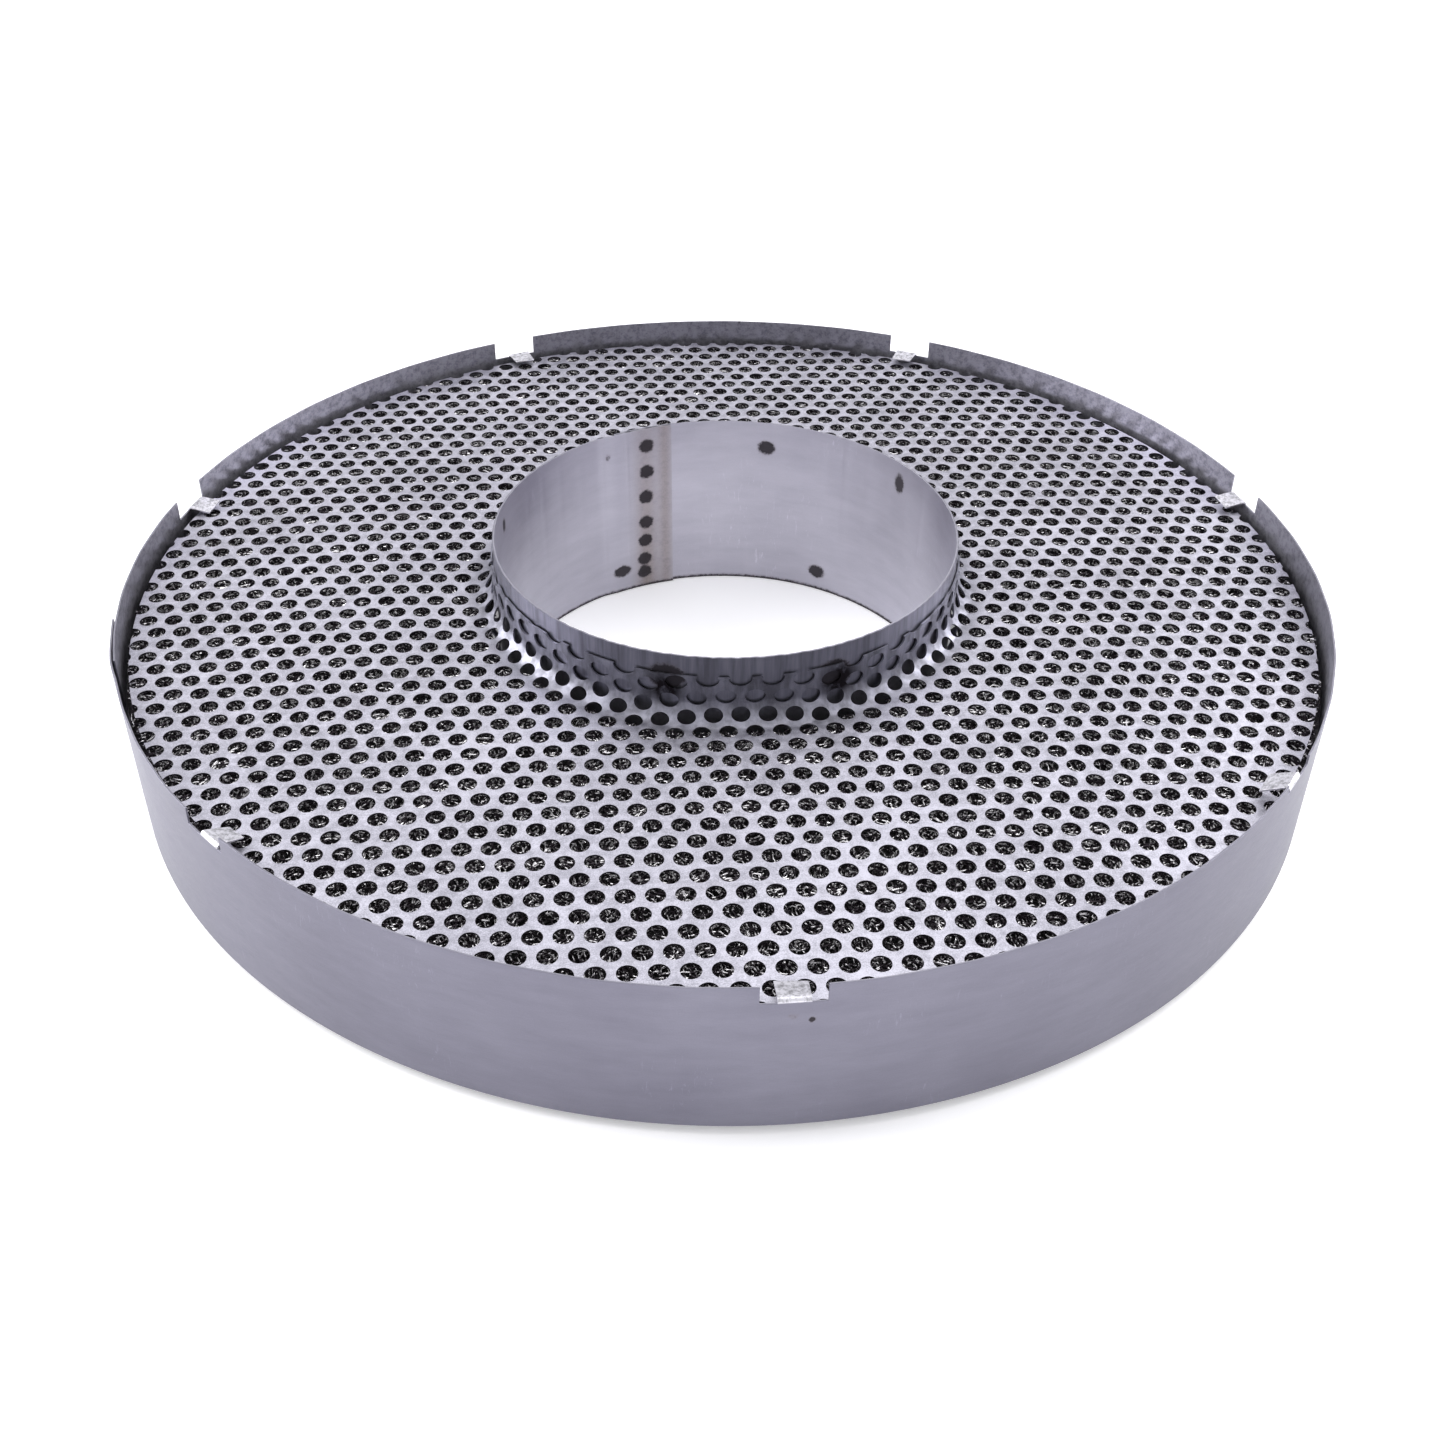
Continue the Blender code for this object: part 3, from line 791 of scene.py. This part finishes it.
def sheet_steel(name, dark, light, rough, soot_and_shade_tone, wear_tint_and_painted_light, worn_share, stain):
    """Mill-finish rolled sheet: grain along the strip, cloudy patches, scuffs and heat stains.

    Its pieces hold two vectors a point: rolled is the place on the flat strip, and marks the heat
    (with a painted shade line along the tube's lower rim), the sooting with painted shade, and the share
    of the lighter colour: tint on the tube, and wear with painted light on the band's tabs and inner face.
    stain is a pale and a dark colour.
    """
    n = Nodes(name)
    rolled = n.attribute("rolled", "Vector")
    cloud = n.noise(rolled, 28.0, 3.0, 0.5)
    patch = n.noise(n.stretched(rolled, (60.0, 260.0, 60.0)), 1.0, 4.0, 0.6)
    grain = n.noise(n.stretched(rolled, (350.0, 5200.0, 350.0)), 1.0, 2.0, 0.6)
    speck = n.noise(rolled, 2600.0, 2.0, 0.6)
    colour = n.mix(n.ramp(n.weighted((cloud, 0.55), (patch, 0.30), (speck, 0.15)), 0.36, 0.64), dark, light)

    scuff = n.noise(n.stretched(rolled, (900.0, 170.0, 400.0)), 1.0, 5.0, 0.75, 0.6)
    scuffed_place = n.noise(rolled, 34.0, 1.0, 0.5)
    scuffs = n.math("MULTIPLY", n.ramp(scuff, 0.59, 0.70), n.ramp(scuffed_place, 0.52, 0.64))
    colour = n.mix(n.math("MULTIPLY", scuffs, 0.42), colour, shade(light, 1.55))

    marks = n.add("ShaderNodeSeparateXYZ", {"Vector": n.attribute("marks", "Vector")}).outputs
    heat, soot_and_shade, bright = marks["X"], marks["Y"], marks["Z"]
    # Sooting and painted shade, in streaks, where the marks ask for it.
    streak = n.noise(n.stretched(rolled, (420.0, 30.0, 100.0)), 1.0, 3.0, 0.65)
    soot_and_shade_colour = n.mix(n.ramp(streak, 0.34, 0.66), shade(soot_and_shade_tone, 1.35), shade(soot_and_shade_tone, 2.7))
    colour = n.mix(n.math("MULTIPLY", soot_and_shade, 0.9), colour, soot_and_shade_colour)

    # The lighter colour: tint on the tube; on the band, wear with painted light on the tabs and painted
    # light on the inner face.
    worn = n.ramp(n.noise(rolled, 650.0, 4.0, 0.7), 0.36, 0.56)
    colour = n.mix(bright, colour, n.mix(worn, shade(wear_tint_and_painted_light, worn_share), wear_tint_and_painted_light))

    # heat also carries the painted shade line along the tube's lower rim.
    raggedness = n.ramp(n.noise(rolled, 700.0, 4.0, 0.7), 0.3, 0.7, -0.22, 0.22)
    broken = n.math("ADD", heat, raggedness)
    halo = n.ramp(n.math("MULTIPLY", heat, n.ramp(broken, 0.0, 0.3)), 0.02, 0.45)
    core = n.ramp(broken, 0.30, 0.62)
    colour = n.mix(n.math("MULTIPLY", halo, 0.45), colour, stain[0])
    colour = n.mix(n.math("MULTIPLY", core, 0.9), colour, stain[1])

    satin = n.ramp(n.weighted((cloud, 0.5), (grain, 0.5)), 0.35, 0.65, rough - 0.06, rough + 0.08)
    roughness = n.math("ADD", satin, n.math("MULTIPLY", core, 0.22))
    fine = n.bump(n.weighted((grain, 0.7), (speck, 0.6)), 0.00003, 0.6)
    return n.finish(colour, roughness, n.bump(patch, 0.00010, 0.35, fine))


def collar_burn(n, place, mottle):
    """Burnt patches where two of the tube's stains spread over the collar."""
    burnt = 0.0
    for angle, level, radius in COLLAR_BURNS:
        turn = math.radians(angle)
        centre = (COLLAR_WALL * math.cos(turn), COLLAR_WALL * math.sin(turn), TOP_FACE + level)
        far = n.add("ShaderNodeVectorMath", {0: place}, {1: centre}, operation="DISTANCE")
        burnt = n.math("MAXIMUM", burnt, n.ramp(far.outputs["Value"], radius, radius * 0.4))
    return n.math("MULTIPLY", burnt, n.ramp(mottle, 0.36, 0.50, 0.55, 1.0))


def hole_walls(n, reach):
    """1 on the steep walls of the holes in the plate's flat part, which are darkened for burrs and dirt and
    as painted shade.
    """
    normal = n.add("ShaderNodeNewGeometry").outputs["True Normal"]
    upward = n.add("ShaderNodeSeparateXYZ", {"Vector": normal}).outputs["Z"]
    steep = n.ramp(n.math("MULTIPLY", upward, upward), 0.30, 0.10)
    return n.math("MULTIPLY", steep, n.ramp(reach, COLLAR_START, COLLAR_START + 0.0010))


def punched_steel(name, dark, light, rough, soot_and_shade_tone):
    """Punched sheet: fine matt grain, faint rolling marks, hole walls darkened by burrs, dirt and painted
    shade, and a collar darkened by sooting and painted shade.
    """
    n = Nodes(name)
    place = n.add("ShaderNodeTexCoord").outputs["Object"]
    cloud = n.noise(place, 22.0, 3.0, 0.5)
    mottle = n.noise(place, 420.0, 4.0, 0.65)
    grain = n.noise(place, 3200.0, 2.0, 0.6)
    rolling = n.noise(n.stretched(place, (60.0, 900.0, 60.0)), 1.0, 3.0, 0.6)
    tone = n.weighted((cloud, 0.22), (mottle, 0.26), (grain, 0.40), (rolling, 0.12))
    colour = n.mix(n.ramp(tone, 0.40, 0.58), dark, light)

    level_place = n.stretched(place, (1.0, 1.0, 0.0))
    reach = n.add("ShaderNodeVectorMath", {0: level_place}, operation="LENGTH").outputs["Value"]
    # Sooting and painted shade on the drawn collar, darkest towards the tube: it stands in for the tube's
    # dark reflection and dims the bend's highlight. Both plates have it.
    drawn = n.ramp(reach, COLLAR_WALL + 0.0095, COLLAR_WALL + 0.0028)
    streak = n.noise(n.stretched(place, (260.0, 260.0, 60.0)), 1.0, 3.0, 0.65)
    soot_and_shade_colour = n.mix(n.ramp(streak, 0.36, 0.62), soot_and_shade_tone, shade(soot_and_shade_tone, 2.6))
    colour = n.mix(n.math("MULTIPLY", drawn, 0.88), colour, soot_and_shade_colour)
    colour = n.mix(collar_burn(n, place, mottle), colour, BURNT)
    # Hole walls: dark burrs and dirt, and painted shade.
    colour = n.mix(hole_walls(n, reach), colour, HOLE_WALL_DIRT_AND_SHADE)

    roughness = n.ramp(mottle, 0.35, 0.65, rough - 0.05, rough + 0.08)
    fine = n.bump(n.weighted((mottle, 1.0), (grain, 0.8)), 0.00004, 0.6)
    return n.finish(colour, roughness, fine)


def wire_steel(name):
    """Knitted wire: bright drawn stainless cut into short bright strokes by dark sooting and painted shade;
    the strokes also stand in for glints as painted highlights.
    """
    n = Nodes(name)
    place = n.add("ShaderNodeTexCoord").outputs["Object"]
    # Dark sooting with painted shade over most of the wire; the bright strokes left between are clean steel
    # shaped as painted glints.
    soot_and_shade = n.noise(place, 760.0, 2.0, 0.6)
    drawn = n.noise(place, 5200.0, 2.0, 0.6)
    colour = n.mix(n.ramp(soot_and_shade, 0.435, 0.485), (1.0, 0.98, 1.0), (0.034, 0.026, 0.034))
    rough_value = n.ramp(soot_and_shade, 0.40, 0.52, 0.26, 0.60)
    return n.finish(colour, rough_value, n.bump(drawn, 0.00002, 0.5), metallic=0.6)


def packed_wire_shade(name):
    """The lower part of the pack, coloured near black as painted shade, with faint strands, between the
    wires above it.
    """
    n = Nodes(name)
    place = n.add("ShaderNodeTexCoord").outputs["Object"]
    strands = n.noise(n.stretched(place, (500.0, 900.0, 500.0)), 1.0, 4.0, 0.7, 1.4)
    colour = n.mix(n.ramp(strands, 0.52, 0.62), (0.012, 0.011, 0.012), (0.09, 0.085, 0.09))
    rough_value = n.ramp(strands, 0.4, 0.6, 0.7, 0.5)
    return n.finish(colour, rough_value, n.bump(strands, 0.0006, 1.0), metallic=0.6)


STAIN = ((0.17, 0.15, 0.16), (0.037, 0.032, 0.038))
BURNT = (0.018, 0.015, 0.018)
# Colours: dark hole walls of burrs, dirt and painted shade; sooting with painted shade; a lighter colour of
# wear with painted light.
HOLE_WALL_DIRT_AND_SHADE = (0.055, 0.050, 0.060)
SOOT_AND_SHADE = (0.10, 0.10, 0.12)
RUBBED_AND_PAINTED_LIGHT = (0.74, 0.73, 0.78)
TINTED = (0.30, 0.26, 0.255)
BAND_TONES = (0.17, 0.165, 0.208), (0.22, 0.215, 0.264)
TUBE_TONES = (0.39, 0.38, 0.44), (0.51, 0.50, 0.565)
PLATE_TONES = (0.33, 0.325, 0.375), (0.60, 0.59, 0.665)
BAND_STEEL = sheet_steel("band_steel", *BAND_TONES, 0.42, SOOT_AND_SHADE, RUBBED_AND_PAINTED_LIGHT, 0.42, STAIN)
TUBE_STEEL = sheet_steel("tube_steel", *TUBE_TONES, 0.38, SOOT_AND_SHADE, TINTED, 0.78, STAIN)
PLATE_STEEL = punched_steel("plate_steel", *PLATE_TONES, 0.46, SOOT_AND_SHADE)
MESH_WIRE = wire_steel("mesh_wire")
PACKED_WIRE_SHADE = packed_wire_shade("packed_wire_shade")


# ---------------------------------------------------------------- pieces

blank = punched_blank()
make_plate("top_plate_punched", "top_perforated_plate", blank, TOP_PLATE_Z, 1, 3)
make_plate("bottom_plate_punched", "bottom_perforated_plate", blank, BOTTOM_PLATE_Z, -1, 4)
make_tube()
make_band()
make_fabric("knitted_wire_upper", TOP_LAYER_HIGH.z - 0.0009, 14.0, 11, "knitted_mesh_layer_4", True)
make_fabric("knitted_wire_second", TOP_LAYER_HIGH.z - 0.0022, -41.0, 23, "knitted_mesh_layer_4", True)
make_fabric("knitted_wire_lowest", LOWEST_LAYER_LOW.z + 0.0010, 33.0, 37, "knitted_mesh_layer_1", False)
# The middle layers are coloured near black: painted shade under the wires.
for kept in ("knitted_mesh_layer_2", "knitted_mesh_layer_3"):
    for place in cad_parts[kept].material_slots:
        place.material = PACKED_WIRE_SHADE


# ---------------------------------------------------------------- floor, light and camera

FLOOR_HALF = 40.0
FLOOR_GAP = 0.0002


def make_floor():
    """Pale floor just under the tube's rim."""
    z = TUBE_LOW.z - FLOOR_GAP
    corners = [(x * FLOOR_HALF, y * FLOOR_HALF, z) for x, y in ((-1, -1), (1, -1), (1, 1), (-1, 1))]
    mesh = bpy.data.meshes.new("floor")
    mesh.from_pydata(corners, [], [(0, 1, 2, 3)])
    floor = bpy.data.objects.new("floor", mesh)
    bpy.context.scene.collection.objects.link(floor)
    material = bpy.data.materials.new("floor")
    material.use_nodes = True
    shader = material.node_tree.nodes["Principled BSDF"]
    shader.inputs["Base Color"].default_value = (0.90, 0.90, 0.91, 1)
    shader.inputs["Roughness"].default_value = 0.9
    shader.inputs["Specular IOR Level"].default_value = 0.1
    shader.inputs["Emission Color"].default_value = (1, 1, 1, 1)
    shader.inputs["Emission Strength"].default_value = 0.26
    mesh.materials.append(material)


def make_light(name, place, size, power):
    """Soft rectangular light that points at the object's foot."""
    data = bpy.data.lights.new(name, "AREA")
    data.shape = "RECTANGLE"
    data.size, data.size_y = size
    data.energy = power
    light = bpy.data.objects.new(name, data)
    light.location = place
    light.rotation_euler = (-Vector(place)).to_track_quat("-Z", "Y").to_euler()
    bpy.context.scene.collection.objects.link(light)


def make_world():
    world = bpy.data.worlds.new("studio")
    bpy.context.scene.world = world
    world.use_nodes = True
    back = world.node_tree.nodes["Background"]
    back.inputs["Color"].default_value = (0.97, 0.97, 1.0, 1)
    back.inputs["Strength"].default_value = 0.95


CAMERA_LENS, CAMERA_SENSOR = 41.04, 36.0
CAMERA_PLACE = (-0.02989, -0.41326, 0.29966)
CAMERA_RIGHT = (0.99785, -0.06503, 0.00863)
CAMERA_FORWARD = (0.05710, 0.79636, -0.60211)


def make_camera():
    """Camera from its place, its right side and its view direction."""
    data = bpy.data.cameras.new("camera")
    data.sensor_width = CAMERA_SENSOR
    data.lens = CAMERA_LENS
    camera = bpy.data.objects.new("camera", data)
    forward = Vector(CAMERA_FORWARD).normalized()
    right = Vector(CAMERA_RIGHT)
    right = (right - right.dot(forward) * forward).normalized()
    turn = Matrix((right, right.cross(forward), -forward)).transposed()
    camera.matrix_world = Matrix.Translation(CAMERA_PLACE) @ turn.to_4x4()
    bpy.context.scene.collection.objects.link(camera)
    bpy.context.scene.camera = camera


make_floor()
make_world()
make_light("overhead", (0.0, 0.3, 1.6), (1.8, 1.5), 8.0)
make_light("left", (-1.3, 0.3, 0.7), (0.9, 0.9), 23.0)
make_light("right", (1.2, 0.4, 0.7), (0.8, 0.8), 15.5)
make_camera()
view = bpy.context.scene.view_settings
view.view_transform = "Standard"
view.look = "None"
